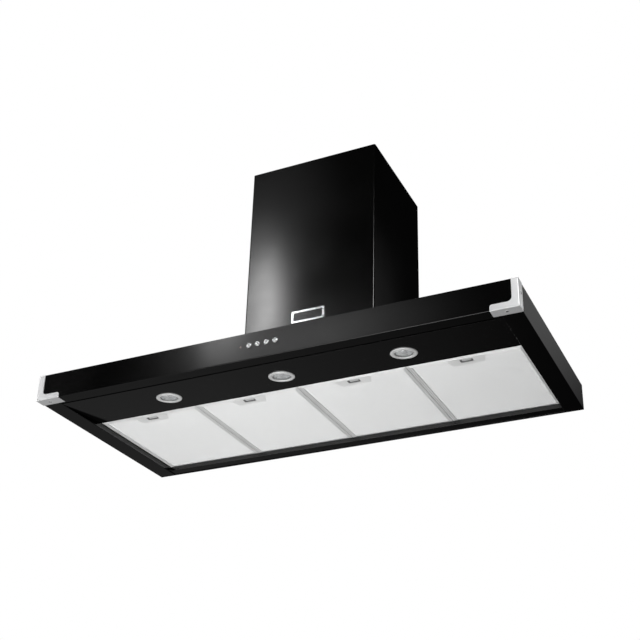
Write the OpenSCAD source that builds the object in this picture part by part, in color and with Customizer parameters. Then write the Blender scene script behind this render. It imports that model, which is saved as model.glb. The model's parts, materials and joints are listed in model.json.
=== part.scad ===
// Wall-mounted range hood: a flat canopy with four grease filters, a box chimney and a blower inside it.
// The wall is the plane y = 0, the underside of the canopy is z = 0, and the front faces -Y.

/* [Canopy] */
// Width over the corner brackets
canopy_w = 1092; // [1080:2:1110]
// Depth from the wall to the face of the corner brackets
canopy_d = 500; // [498:1:510]
// Height of the fascia
canopy_h = 60; // [58:1:64]
// Thickness of the folded sheet
sheet = 1.2; // [1:0.1:1.4]
// Outer radius of the vertical folds at the front corners
fold_r = 2.5; // [2:0.5:3]
// Width of the side flanges under the canopy
side_flange = 42; // [38:1:42]
// Depth of the front rim under the canopy
front_rim = 30; // [28:1:34]
// Depth of the ledge at the wall that carries the filters
rear_ledge = 26; // [25:1:27]

/* [Corner brackets] */
// Thickness of the bracket sheet
bracket_t = 1; // [0.8:0.1:1.2]
// Width of the upright arm
upright_w = 14.5; // [12:0.5:16]
// Length of the bottom arm
arm_l = 58; // [50:1:64]
// Height of the bottom arm
arm_h = 12.5; // [11:0.5:18]
// Depth of the bottom and side flanges
bracket_d = 25; // [22:1:32]

/* [Lamps] */
// Distance between lamps
lamp_pitch = 275; // [250:5:300]
// Distance from the bracket face to the lamp centres
lamp_set = 108; // [100:1:114]
// Radius of the lamp bezel
bezel_r = 28; // [26:0.5:30]

/* [Grease filters] */
// Width of one filter
filter_w = 250; // [248:0.5:250]
// Depth of one filter, front to back
filter_l = 308; // [304:1:310]
// Thickness of one filter
filter_t = 9; // [8:0.5:10]
// Height of the filters' underside above the canopy's
filter_z = 12; // [11:0.5:14]
// Width of the frame's visible border
border = 9.5; // [8:0.5:9.5]
// Travel of the latch slider
latch_travel = 5; // [4:0.5:5]

/* [Controls] */
// Radius of a push button
button_r = 5.5; // [5:0.25:6]
// Distance between buttons
button_pitch = 20; // [18:1:22]
// Height of the button row
control_z = 31; // [30:1:33]
// How far the buttons stand out of the fascia
button_proud = 2.6; // [2.2:0.1:3]
// Travel of a push button
button_travel = 2; // [1.5:0.1:2]

/* [Chimney] */
// Width of the lower chimney cover
chimney_w = 325; // [322:1:340]
// Depth of the lower chimney cover
chimney_d = 280; // [278:1:290]
// Height of its top above the underside of the canopy
chimney_top = 640; // [600:5:760]
// Thickness of the cover sheet
cover_t = 1; // [0.8:0.1:1.2]

/* [Blower] */
// Radius of the duct spigot, outside
spigot_r = 75; // [70:1:75]
// Radius of the impeller
impeller_r = 78; // [74:1:78]
// Length of the impeller
impeller_l = 112; // [100:2:112]
// Number of impeller blades
blade_count = 32; // [24:2:36]

/* [Hidden] */
$fn = 64;
FILTERS = [1 : 4];
BUTTONS = [1 : 4];

// Colours
black_paint = "#161616";
dark_grey = "#2b2c2e";
chrome = "#dcdde0";
aluminium = "#c9cbcc";
galvanised = "#9a9da0";
white_plastic = "#d8d8d2";

eps = 0.5;                                    // how far a cutting solid runs past a face
half_w = canopy_w / 2;
face_x = half_w - bracket_t;                  // outer face of the skirt's sides
face_y = bracket_t - canopy_d;                // front face of the fascia
flange_x = face_x - side_flange;              // inner edge of the side flanges
rim_y = face_y + front_rim;                   // back edge of the front rim
top_z = canopy_h - sheet;                     // underside of the top panel
lip_h = 24;                                   // height of the lips along the side flanges

// Light panel: a channel over the rim, then a slope up to the level of the filters
filter_y = 178 - canopy_d;                    // front edge of the filters
panel_y = filter_y - 1.2;
panel_lip_z = filter_z + 10;
panel_overlap = 16;
panel_half = flange_x - 0.2;
channel_y = [rim_y - 2, rim_y + 4];           // shadow gap between the rim and the slope
channel_z = 7;
panel_z = 0.2;                                // height of the slope's front edge
slope = atan2(filter_z - panel_z, panel_y - channel_y[1]);
lamp_y = lamp_set - canopy_d;
lamp_z = panel_z + (lamp_y - channel_y[1]) * tan(slope);
lamp_places = [for (k = [-1 : 1]) k * lamp_pitch];
lamp_hole_r = bezel_r - 3.5;

// Filters
filter_pitch = filter_w + 1;
foil = 1;                                     // thickness of the filter frame's folded sheet
latch_y = 10.7;                               // where the latch tray starts behind the filter's front edge
plate_t = 0.8;                                // thickness of the latch plate
latch_half = 30;
latch_h = 6.5;
slider_play = 0.3;
slider_y = latch_y + foil + slider_play;
slider_l = 14;
spring_solid = 4;                             // length of the latch spring at the end of the travel
latch_l = 2 * foil + slider_play + slider_l + latch_travel + spring_solid;
tongue_half = 12;
slot_half = 14;
spring_r = 1.8;
spring_wire_r = 0.35;
spring_turns = 6;
spring_steps = spring_turns * 12;
spring_sides = 6;
spring_inset = 0.1 + spring_wire_r;           // from a seat to the middle of the wire
spring_y = [slider_y + slider_l + spring_inset, latch_y + latch_l - foil - spring_inset];

// Rear ledge
ledge_z = 2;
ledge_lip_z = filter_z - 0.2;

// Controls
button_places = [for (k = [0 : 3]) (k - 1) * button_pitch];
lens_x = -2 * button_pitch;
button_hole_r = button_r + 0.3;
lens_r = 2.5;
housing_wall = 1.6;
housing_d = 24;
housing_x = [lens_x - 22, 2 * button_pitch + 26];
housing_z = [control_z - 17, control_z + 17];
board_y = face_y + sheet + 16;
button_back = face_y + 9;

// Corner bracket screws
flange_screw_x = half_w - 28;
bracket_screw_y = -canopy_d + bracket_d / 2;
side_screw_z = 32;
screw_r = 1.6;
head_r = 2.8;
head_h = 0.9;

// Chimney
cover_clear = 0.8;                            // gap between the two covers
cover_turn = 15;                              // width of the covers' rear returns
cover_fold = 4;                               // outer radius of the lower cover's folds
upper_half = chimney_w / 2 - cover_t - cover_clear;
upper_front = -chimney_d + cover_t + cover_clear;
upper_back = -cover_t - 0.3;
upper_z = [canopy_h + 6, chimney_top - 4];
foot_w = 12;
badge_size = [81, 30];
badge_border = 4.6;
badge_window = [for (side = badge_size) side - 2 * badge_border];
badge_z = 211;
badge_t = 2.4;

// Blower
axis_y = -150;
axis_z = 182;
scroll_half = 66;
scroll_wall = 2;
scroll_r0 = 84;                               // radius at the tongue
scroll_r1 = 118;                              // radius where the wall turns up into the throat
tongue_deg = 60;
throat_inner = scroll_r0 * cos(tongue_deg);
throat_z = 300;
inlet_r = 62;
base_t = 1.5;
window_x = [72, 142];
window_y = [-254, -16];
hub_r = 12;
shaft_r = 4;
motor_r = 42;
motor_x = [-scroll_half, -16];
plenum_half = 80;
plenum_y = [-164, -4];
plenum_h = 30;
spigot_y = (plenum_y[0] + plenum_y[1]) / 2;
spigot_z = throat_z + plenum_h;
spigot_h = 55;
spigot_bore_r = spigot_r - 2;
flap_z = spigot_z + 15;
flap_r = spigot_bore_r - 1.5;
flap_t = 1.2;
flap_drop = 1.7;                              // the flap's underside below the pin's axis
pin_r = 1.5;
knuckle_r = 3;
wall_holes = [[-80, 120], [80, 120], [-80, 270], [80, 270]];
wall_hole_r = 4;
panel_hole_x = 400;
panel_hole_z = 36;
box_x = [-52, 28];
box_y = [-226, plenum_y[0]];
box_h = 45;
gland_x = -30;
gland_y = -195;
gland_r = 4;

// A box between two corners
module box(low, high) {
    translate(low) cube(high - low);
}

// A rectangle with round corners, centred
module round_rect(size, r) {
    square([size[0] - 2 * r, size[1]], center = true);
    square([size[0], size[1] - 2 * r], center = true);
    for (x = [-1, 1], y = [-1, 1]) {
        translate([x * (size[0] / 2 - r), y * (size[1] / 2 - r)]) circle(r);
    }
}

// The plan of a folded sheet: square at the back, with round folds at both front corners
module folded_plan(half, front, back, r) {
    translate([-half, front + r]) square([2 * half, back - front - r]);
    translate([r - half, front]) square([2 * (half - r), 2 * r]);
    for (side = [-1, 1]) {
        translate([side * (half - r), front + r]) circle(r);
    }
}

// Stands a profile drawn in Y and Z up, and extrudes it along X, centred
module along_x(length) {
    rotate([90, 0, 90]) linear_extrude(length, center = true) children();
}

// Turns a shape made along +Z so that it points out of the front
module out_of_front() {
    rotate([90, 0, 0]) children();
}

module bracket_screw_places() {
    for (side = [-1, 1]) {
        translate([side * flange_screw_x, bracket_screw_y, 0]) children();
        translate([side * face_x, bracket_screw_y, side_screw_z]) rotate([0, -90 * side, 0]) children();
    }
}

module foot_screw_places() {
    for (side = [-1, 1], y = [-60, -220]) {
        translate([side * (chimney_w / 2 - cover_t - 5), y, canopy_h]) children();
    }
}

// Canopy

module skirt() {
    color(black_paint) difference() {
        union() {
            linear_extrude(canopy_h) difference() {
                folded_plan(face_x, face_y, -sheet, fold_r);
                folded_plan(face_x - sheet, face_y + sheet, eps, fold_r - sheet);
            }
            linear_extrude(sheet) difference() {
                folded_plan(face_x, face_y, -sheet, fold_r);
                translate([-flange_x, rim_y]) square([2 * flange_x, canopy_d]);
            }
            for (side = [-1, 1]) {
                box([side * (flange_x + sheet / 2) - sheet / 2, rim_y, 0],
                    [side * (flange_x + sheet / 2) + sheet / 2, -sheet, lip_h]);
            }
        }
        for (x = button_places) {
            translate([x, face_y + sheet + eps, control_z]) out_of_front()
                cylinder(r = button_hole_r, h = sheet + 2 * eps);
        }
        translate([lens_x, face_y + sheet + eps, control_z]) out_of_front()
            cylinder(r = lens_r, h = sheet + 2 * eps);
        bracket_screw_places() translate([0, 0, -eps]) cylinder(r = screw_r, h = sheet + 2 * eps);
    }
}

module top_panel() {
    color(black_paint) difference() {
        translate([0, 0, top_z]) linear_extrude(sheet) difference() {
            folded_plan(face_x - sheet, face_y + sheet, -sheet, fold_r - sheet);
            translate([-window_x[1], window_y[0]])
                square([2 * window_x[1], window_y[1] - window_y[0]]);
        }
        foot_screw_places() translate([0, 0, -sheet - eps]) cylinder(r = screw_r, h = sheet + 2 * eps);
    }
}

module rear_panel() {
    color(black_paint) difference() {
        union() {
            box([-face_x, -sheet, 0], [face_x, 0, canopy_h]);
            box([-panel_half, -rear_ledge, ledge_z], [panel_half, -sheet, ledge_z + sheet]);
            box([-panel_half, -rear_ledge, ledge_z], [panel_half, sheet - rear_ledge, ledge_lip_z]);
        }
        for (side = [-1, 1]) {
            translate([side * panel_hole_x, eps, panel_hole_z]) out_of_front()
                cylinder(r = wall_hole_r, h = sheet + 2 * eps);
        }
    }
}

module light_panel() {
    color(black_paint) difference() {
        along_x(2 * panel_half) polygon([
            [rim_y - panel_overlap, sheet],
            [channel_y[0], sheet],
            [channel_y[0], channel_z],
            [channel_y[1], channel_z],
            [channel_y[1], panel_z],
            [panel_y, filter_z],
            [panel_y, panel_lip_z],
            [panel_y - sheet, panel_lip_z],
            [panel_y - sheet, filter_z + sheet],
            [channel_y[1] + sheet, panel_z + sheet],
            [channel_y[1] + sheet, channel_z + sheet],
            [channel_y[0] - sheet, channel_z + sheet],
            [channel_y[0] - sheet, 2 * sheet],
            [rim_y - panel_overlap, 2 * sheet]
        ]);
        at_lamps() translate([0, 0, -4]) cylinder(r = lamp_hole_r, h = 8);
    }
}

// One bracket for the right-hand corner: front face, bottom flange and side flange
module corner_bracket() {
    inner_r = 9;
    end_r = 5.5;
    low = -bracket_t;
    difference() {
        union() {
            translate([0, face_y, 0]) out_of_front() linear_extrude(bracket_t) difference() {
                union() {
                    translate([half_w - upright_w, low]) square([upright_w, canopy_h - low]);
                    translate([half_w - arm_l, low]) square([arm_l, arm_h - low - end_r]);
                    translate([half_w - arm_l + end_r, low]) square([arm_l - end_r, arm_h - low]);
                    translate([half_w - arm_l + end_r, arm_h - end_r]) circle(end_r);
                    translate([half_w - upright_w - inner_r, low])
                        square([inner_r + eps, arm_h - low + inner_r]);
                }
                translate([half_w - upright_w - inner_r, arm_h + inner_r]) circle(inner_r);
            }
            box([half_w - arm_l, -canopy_d, low], [half_w, bracket_d - canopy_d, 0]);
            box([face_x, -canopy_d, low], [half_w, bracket_d - canopy_d, canopy_h]);
        }
        translate([flange_screw_x, bracket_screw_y, low - eps])
            cylinder(r = screw_r, h = bracket_t + 2 * eps);
        translate([face_x - eps, bracket_screw_y, side_screw_z]) rotate([0, 90, 0])
            cylinder(r = screw_r, h = bracket_t + 2 * eps);
    }
}

module bracket_right() {
    color(chrome) corner_bracket();
}

module bracket_left() {
    color(chrome) mirror([1, 0, 0]) corner_bracket();
}

// A screw at the origin: its head stands below z = -stack, its shank runs up
module screw(stack) {
    shank = stack + 4;
    translate([0, 0, -stack]) cylinder(r = screw_r - 0.1, h = shank);
    difference() {
        translate([0, 0, -stack - head_h]) cylinder(r = head_r, h = head_h);
        translate([0, 0, -stack - head_h - eps]) {
            for (turn = [0, 90]) rotate([0, 0, turn]) translate([-1.6, -0.3, 0]) cube([3.2, 0.6, eps + 0.5]);
        }
    }
}

module screws() {
    color(chrome) {
        bracket_screw_places() screw(bracket_t);
        foot_screw_places() mirror([0, 0, 1]) screw(cover_t);
    }
}

// Badge

module badge_frame() {
    color(chrome) translate([0, -chimney_d, badge_z]) out_of_front() linear_extrude(badge_t) difference() {
        round_rect(badge_size, 2.5);
        round_rect(badge_window, 1);
    }
}

module badge_plate() {
    color(dark_grey) translate([0, -chimney_d, badge_z]) out_of_front()
        linear_extrude(badge_t / 2) round_rect(badge_window, 1);
}

// Chimney covers

// A cover's plan: a folded sheet that is open to the wall between two returns
module cover_plan(half, front, back, r) {
    difference() {
        folded_plan(half, front, back, r);
        folded_plan(half - cover_t, front + cover_t, back - cover_t, r - cover_t / 2);
        translate([cover_turn - half, back - 2 * cover_t]) square([2 * (half - cover_turn), 3 * cover_t]);
    }
}

module lower_cover() {
    half = chimney_w / 2;
    color(black_paint) difference() {
        union() {
            translate([0, 0, canopy_h]) linear_extrude(chimney_top - canopy_h)
                cover_plan(half, -chimney_d, 0, cover_fold);
            translate([0, 0, canopy_h]) linear_extrude(cover_t) difference() {
                folded_plan(half, -chimney_d, 0, cover_fold);
                translate([foot_w - half, foot_w - chimney_d]) square([2 * (half - foot_w), chimney_d]);
            }
        }
        foot_screw_places() translate([0, 0, -eps]) cylinder(r = screw_r, h = cover_t + 2 * eps);
    }
}

module upper_cover() {
    slot_z = [for (k = [0 : 4]) upper_z[1] - 60 - 14 * k];
    color(black_paint) difference() {
        translate([0, 0, upper_z[0]]) linear_extrude(upper_z[1] - upper_z[0])
            cover_plan(upper_half, upper_front, upper_back, cover_fold - 1);
        for (z = slot_z) {
            box([-upper_half - eps, -200, z], [upper_half + eps, -110, z + 5]);
        }
    }
}

module ceiling_bracket() {
    z = [upper_z[1] - 30, upper_z[1] - 5];
    back_half = upper_half - cover_turn - 2.5;
    ear_t = 1.5;
    ear_d = 40;
    color(galvanised) difference() {
        union() {
            box([-back_half, -ear_t, z[0]], [back_half, 0, z[1]]);
            for (side = [0, 1]) mirror([side, 0, 0]) {
                box([back_half - ear_t, -ear_d, z[0]], [back_half, 0, z[1]]);
                box([back_half - ear_t, -ear_d, z[0]], [upper_half - cover_t, ear_t - ear_d, z[1]]);
            }
        }
        for (side = [-1, 1]) {
            translate([side * 60, eps, (z[0] + z[1]) / 2]) out_of_front() cylinder(r = 3, h = ear_t + 2 * eps);
        }
    }
}

// Lamps: each is drawn about the panel's outer face, with +Z into the canopy

module at_lamps() {
    for (x = lamp_places) {
        translate([x, lamp_y, lamp_z]) rotate([slope, 0, 0]) children();
    }
}

module lamp_bezels() {
    color(chrome) at_lamps() rotate_extrude() polygon([
        [18.3, -1.2], [20, -1.9], [bezel_r - 1.2, -1.9], [bezel_r, -1], [bezel_r, 0],
        [lamp_hole_r - 0.3, 0], [lamp_hole_r - 0.3, 20], [lamp_hole_r - 1.3, 20],
        [lamp_hole_r - 1.3, 1], [19.5, 1], [18.3, 0.2]
    ]);
}

module lamp_glasses() {
    color("#c8d4d8", 0.4) at_lamps() translate([0, 0, -0.4]) cylinder(r = 18.1, h = 1.4);
}

module lamp_reflectors() {
    outer = [for (k = [0 : 8]) [7 + 10.6 * pow(k / 8, 0.55), 22 - 20.9 * k / 8]];
    inner = [for (k = [8 : -1 : 0]) outer[k] - [1, 0]];
    color(aluminium) at_lamps() rotate_extrude()
        polygon(concat([[6, 30], [7, 30]], outer, inner));
}

module lamp_bulbs() {
    color("#e4e6e2") at_lamps() {
        translate([0, 0, 8]) cylinder(r = 4, h = 16);
        translate([0, 0, 8]) sphere(4);
        for (x = [-2.6, 2.6]) translate([x, 0, 23]) cylinder(r = 0.5, h = 10);
    }
}

module lamp_holders() {
    color(white_plastic) at_lamps() difference() {
        union() {
            translate([0, 0, 30]) cylinder(r = 11, h = 10);
            translate([-7, -4, 40]) cube([14, 8, 5]);
        }
        for (x = [-2.6, 2.6]) translate([x, 0, 29]) cylinder(r = 0.6, h = 6);
    }
}

// Grease filters: each is drawn about the middle of its front lower edge

module at_filter(i) {
    translate([(i - 2.5) * filter_pitch, filter_y, filter_z]) children();
}

module filter_frame(i) {
    half = filter_w / 2;
    color(aluminium) at_filter(i) difference() {
        box([-half, 0, 0], [half, filter_l, filter_t]);
        box([border - half, border, -eps], [half - border, filter_l - border, filter_t + eps]);
        box([foil - half, foil, foil], [half - foil, filter_l - foil, filter_t - foil]);
        box([-tongue_half - 0.5, -eps, 2.5], [tongue_half + 0.5, 2 * foil, 5.5]);
    }
}

module filter_mesh(i) {
    half = filter_w / 2 - foil - 0.2;
    color(aluminium) at_filter(i) difference() {
        box([-half, foil + 0.2, foil + 0.1], [half, filter_l - foil - 0.2, filter_t - foil - 0.1]);
        box([-latch_half - 1, 0, 0], [latch_half + 1, latch_y + latch_l + 1, filter_t]);
    }
}

// The latch plate's outline: wide at the front, with round corners at the back
module plate_outline() {
    front = border + 0.1;
    back = latch_y + latch_l + 0.5;
    r = 3;
    polygon([[-42, front], [42, front], [34, back - r], [31, back - r], [-31, back - r], [-34, back - r]]);
    translate([-31, back - 2 * r]) square([62, 2 * r]);
    for (side = [-1, 1]) translate([side * 31, back - r]) circle(r);
}

module latch_plate(i) {
    back = latch_y + latch_l;
    slot_mid = slider_y + slider_l / 2 + 1;
    color(aluminium) at_filter(i) difference() {
        union() {
            linear_extrude(plate_t) plate_outline();
            difference() {
                box([-latch_half, latch_y, 0], [latch_half, back, latch_h]);
                box([foil - latch_half, latch_y + foil, plate_t], [latch_half - foil, back - foil, latch_h - foil]);
                box([-tongue_half - 0.5, latch_y - eps, 2.5], [tongue_half + 0.5, latch_y + 2 * foil, 5.3]);
            }
        }
        translate([0, slot_mid, -eps]) linear_extrude(plate_t + 2 * eps) round_rect([2 * slot_half, slider_l], 3);
    }
}

module latch_slider(i) {
    z = [plate_t + 0.15, 5.2];
    color(dark_grey) at_filter(i) difference() {
        union() {
            box([-22, slider_y, z[0]], [22, slider_y + slider_l, z[1]]);
            box([-tongue_half, -0.4, 2.8], [tongue_half, slider_y + eps, z[1]]);
        }
        box([-11.5, slider_y + 3.5, -eps], [11.5, slider_y + 12, 4]);
    }
}

// A point on the latch spring's wire surface, after a number of steps along it
function spring_point(step, side) =
    let (turn = 360 * step / 12, around = 360 * side / spring_sides)
    let (r = spring_r + spring_wire_r * cos(around))
    [r * cos(turn),
     spring_y[0] + (spring_y[1] - spring_y[0]) * step / spring_steps + spring_wire_r * sin(around),
     plate_t + 2.35 + r * sin(turn)];

module latch_spring(i) {
    points = [for (step = [0 : spring_steps], side = [0 : spring_sides - 1]) spring_point(step, side)];
    last = spring_steps * spring_sides;
    walls = [for (step = [0 : spring_steps - 1], side = [0 : spring_sides - 1])
        let (a = step * spring_sides, next = (side + 1) % spring_sides)
        [a + side, a + next, a + spring_sides + next, a + spring_sides + side]];
    ends = [
        [for (side = [spring_sides - 1 : -1 : 0]) side],
        [for (side = [0 : spring_sides - 1]) last + side]
    ];
    color(galvanised) at_filter(i) polyhedron(points, concat(walls, ends));
}

// Controls

module button(i) {
    front = face_y - button_proud;
    collar_y = face_y + sheet + 0.2;
    color(chrome) translate([button_places[i - 1], button_back, control_z]) out_of_front() rotate_extrude()
        polygon([
            [0, 0], [3, 0], [3, button_back - collar_y - 1.2], [7, button_back - collar_y - 1.2],
            [7, button_back - collar_y], [button_r, button_back - collar_y],
            [button_r, button_back - front - 0.7], [button_r - 0.7, button_back - front],
            [2, button_back - front], [1.4, button_back - front - 0.35], [0, button_back - front - 0.35]
        ]);
}

module indicator_lens() {
    color("#3a1412") translate([lens_x, face_y + 6, control_z]) out_of_front() rotate_extrude()
        polygon(concat([[0, 0], [lens_r - 0.1, 0]],
            [for (a = [0 : 15 : 90]) [(lens_r - 0.1) * cos(a), 6 + 1.2 * sin(a)]]));
}

module control_housing() {
    front = face_y + sheet;
    color(dark_grey) difference() {
        box([housing_x[0], front, housing_z[0]], [housing_x[1], front + housing_d, housing_z[1]]);
        box([housing_x[0] + housing_wall, front - eps, housing_z[0] + housing_wall],
            [housing_x[1] - housing_wall, front + housing_d - housing_wall, housing_z[1] - housing_wall]);
        translate([housing_x[1] - housing_wall - eps, front + housing_d - 5, control_z]) rotate([0, 90, 0])
            cylinder(r = 2.5, h = housing_wall + 2 * eps);
    }
}

module switch_board() {
    switch_front = button_back + button_travel + 0.3;
    color("#1f6b46") {
        box([housing_x[0] + housing_wall, board_y, housing_z[0] + 4],
            [housing_x[1] - housing_wall, board_y + 1.6, housing_z[1] - 4]);
        for (x = button_places) {
            box([x - 5, switch_front, control_z - 5], [x + 5, board_y, control_z + 5]);
        }
        translate([lens_x, board_y, control_z]) out_of_front()
            cylinder(r = 1.5, h = board_y - face_y - 7);
    }
}

// Blower

function scroll_point(deg, grow) =
    let (r = scroll_r0 + (scroll_r1 - scroll_r0) * (deg - tongue_deg) / (360 - tongue_deg) - grow)
    [axis_y + r * cos(deg), axis_z + r * sin(deg)];

// The scroll's outline in Y and Z, drawn in by a wall's thickness
module scroll_outline(inset, top) {
    start = inset > 0 ? tongue_deg - 4 : tongue_deg;
    polygon(concat(
        [for (deg = [start : 6 : 354]) scroll_point(deg, inset)],
        [scroll_point(360, inset)],
        [[axis_y + scroll_r1 - inset, top], [axis_y + throat_inner + 2 * inset, top]]
    ));
}

module base_plate() {
    z = [canopy_h, canopy_h + base_t];
    color(galvanised) difference() {
        box([-149, -266, z[0]], [149, -4, z[1]]);
        for (side = [0, 1]) mirror([side, 0, 0]) {
            box([window_x[0], window_y[0], z[0] - eps], [window_x[1], window_y[1], z[1] + eps]);
        }
    }
}

module mounting_plate() {
    z = [canopy_h + base_t, 290];
    color(galvanised) difference() {
        union() {
            box([-110, -2, z[0]], [110, 0, z[1]]);
            box([-68, -28, z[0]], [68, 0, z[0] + 2]);
        }
        for (place = wall_holes) {
            translate([place[0], eps, place[1]]) out_of_front() cylinder(r = wall_hole_r, h = 2 + 2 * eps);
        }
    }
}

module scroll_housing() {
    foot = canopy_h + base_t;
    flange_out = 10;
    color(dark_grey) difference() {
        union() {
            along_x(2 * scroll_half) scroll_outline(0, throat_z);
            for (x = [-1, 1], y = [-1, 1]) {
                translate([x * (scroll_half - 7) - 7, axis_y + y * 57 - 7, foot]) cube([14, 14, 44]);
            }
            box([-scroll_half - flange_out, axis_y + throat_inner - flange_out, throat_z - 3],
                [scroll_half + flange_out, axis_y + scroll_r1 + flange_out, throat_z]);
        }
        along_x(2 * (scroll_half - scroll_wall)) scroll_outline(scroll_wall, throat_z + eps);
        translate([0, axis_y, axis_z]) rotate([0, 90, 0])
            cylinder(r = inlet_r, h = 2 * scroll_half + 2 * eps, center = true);
    }
}

module impeller() {
    ring_w = 12;
    ring_t = 3;
    hub_l = 28;
    color(dark_grey) translate([0, axis_y, axis_z]) rotate([0, 90, 0]) difference() {
        union() {
            for (end = [-1, 1]) {
                translate([0, 0, end * (impeller_l - ring_t) / 2]) difference() {
                    cylinder(r = impeller_r, h = ring_t, center = true);
                    cylinder(r = impeller_r - ring_w, h = ring_t + 2 * eps, center = true);
                }
            }
            cylinder(r = impeller_r, h = 2, center = true);
            cylinder(r = hub_r, h = hub_l, center = true);
            linear_extrude(impeller_l - ring_t, center = true) {
                for (k = [0 : blade_count - 1]) {
                    rotate(360 * k / blade_count) translate([impeller_r - ring_w / 2, 0]) rotate(35)
                        square([ring_w, 1.2], center = true);
                }
            }
        }
        cylinder(r = shaft_r, h = hub_l + 2 * eps, center = true);
    }
}

module motor_shaft() {
    color(galvanised) translate([motor_x[1] - 9, axis_y, axis_z]) rotate([0, 90, 0])
        cylinder(r = shaft_r, h = 41);
}

module motor() {
    color(galvanised) translate([motor_x[0], axis_y, axis_z]) rotate([0, 90, 0]) difference() {
        union() {
            cylinder(r = motor_r, h = motor_x[1] - motor_x[0] - 8);
            cylinder(r = 14, h = motor_x[1] - motor_x[0]);
        }
        translate([0, 0, motor_x[1] - motor_x[0] - 10]) cylinder(r = shaft_r + 0.05, h = 10 + eps);
    }
}

module motor_bracket() {
    bracket_wall = 2;
    ring_w = 8;
    color(galvanised) translate([-scroll_half - bracket_wall, axis_y, axis_z]) rotate([0, 90, 0])
        linear_extrude(bracket_wall) {
            difference() {
                circle(inlet_r + ring_w);
                circle(inlet_r);
            }
            circle(motor_r - ring_w);
            for (turn = [15, 135, 255]) {
                rotate(turn) translate([motor_r - 1.5 * ring_w, -ring_w])
                    square([inlet_r - motor_r + 2 * ring_w, 2 * ring_w]);
            }
        }
}

module duct_collar() {
    wall = 2;
    stop_z = flap_z - flap_drop - 0.3;
    color(dark_grey) difference() {
        union() {
            box([-plenum_half, plenum_y[0], throat_z], [plenum_half, plenum_y[1], spigot_z]);
            translate([0, spigot_y, spigot_z]) cylinder(r = spigot_r, h = spigot_h);
        }
        box([wall - plenum_half, plenum_y[0] + wall, throat_z + wall],
            [plenum_half - wall, plenum_y[1] - wall, spigot_z - wall]);
        box([-scroll_half + 2 * wall, axis_y + throat_inner + 2 * wall, throat_z - eps],
            [scroll_half - 2 * wall, axis_y + scroll_r1 - wall, throat_z + 2 * wall]);
        difference() {
            translate([0, spigot_y, spigot_z - 2 * wall]) cylinder(r = spigot_bore_r, h = spigot_h + 3 * wall);
            translate([0, spigot_y, stop_z - 2]) difference() {
                cylinder(r = spigot_r, h = 2);
                translate([0, 0, -eps]) cylinder(r = spigot_bore_r - 4, h = 2 + 2 * eps);
            }
        }
    }
}

// A half-round flap on the collar's pin; it is drawn towards +Y
module flap(own, other) {
    knuckle_l = 12;
    near = pin_r + 0.5;
    difference() {
        union() {
            translate([0, 0, -flap_drop]) intersection() {
                cylinder(r = flap_r, h = flap_t);
                box([-flap_r, near, -eps], [flap_r, flap_r, flap_t + eps]);
            }
            for (x = own) translate([x, 0, 0]) rotate([0, 90, 0])
                cylinder(r = knuckle_r, h = knuckle_l, center = true);
        }
        rotate([0, 90, 0]) cylinder(r = pin_r + 0.05, h = 2 * flap_r, center = true);
        for (x = other) {
            box([x - knuckle_l / 2 - 1, -knuckle_r - 1, -knuckle_r - 1],
                [x + knuckle_l / 2 + 1, knuckle_r + 0.6, knuckle_r + 1]);
        }
    }
}

module rear_flap() {
    color(galvanised) translate([0, spigot_y, flap_z]) flap([-45, 45], [-20, 20]);
}

module front_flap() {
    color(galvanised) translate([0, spigot_y, flap_z]) mirror([0, 1, 0]) flap([-20, 20], [-45, 45]);
}

module flap_pin() {
    color(chrome) translate([0, spigot_y, flap_z]) rotate([0, 90, 0])
        cylinder(r = pin_r, h = 2 * spigot_bore_r - 0.4, center = true);
}

// Electrics

module junction_box() {
    wall = 2;
    color(dark_grey) difference() {
        box([box_x[0], box_y[0], throat_z], [box_x[1], box_y[1], throat_z + box_h]);
        box([box_x[0] + wall, box_y[0] + wall, throat_z + wall],
            [box_x[1] - wall, box_y[1] - wall, throat_z + box_h - wall]);
        translate([gland_x, gland_y, throat_z + box_h - 2 * wall]) cylinder(r = gland_r + 3, h = 3 * wall);
    }
}

module cable_gland() {
    top = throat_z + box_h;
    color(dark_grey) translate([gland_x, gland_y, top]) difference() {
        union() {
            translate([0, 0, -8]) cylinder(r = gland_r + 3, h = 9);
            cylinder(r = 11, h = 5, $fn = 6);
            translate([0, 0, 5]) cylinder(r = 8.5, h = 9);
        }
        translate([0, 0, -8 - eps]) cylinder(r = gland_r, h = 22 + 2 * eps);
    }
}

module capacitor() {
    can_r = 18;
    color(aluminium) translate([box_x[1] + can_r + 4, plenum_y[0] - can_r, throat_z]) {
        cylinder(r = can_r, h = 58);
        for (x = [-5, 5]) translate([x - 2, -0.4, 58]) cube([4, 0.8, 8]);
    }
}

module transformer() {
    color(dark_grey) {
        box([300, -250, top_z - 26], [350, -150, top_z]);
        box([303, -262, top_z - 4], [347, -138, top_z]);
    }
}

skirt();
top_panel();
rear_panel();
light_panel();
bracket_left();
bracket_right();
screws();
badge_frame();
badge_plate();
lower_cover();
upper_cover();
ceiling_bracket();
lamp_bezels();
lamp_glasses();
lamp_reflectors();
lamp_bulbs();
lamp_holders();
for (i = FILTERS) {
    filter_frame(i);
    filter_mesh(i);
    latch_plate(i);
    latch_slider(i);
    latch_spring(i);
}
for (i = BUTTONS) {
    button(i);
}
indicator_lens();
control_housing();
switch_board();
base_plate();
mounting_plate();
scroll_housing();
impeller();
motor_shaft();
motor();
motor_bracket();
duct_collar();
front_flap();
rear_flap();
flap_pin();
junction_box();
cable_gland();
capacitor();
transformer();
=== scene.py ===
import json
import math

import bmesh
import bpy
from mathutils import Matrix, Vector


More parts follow.
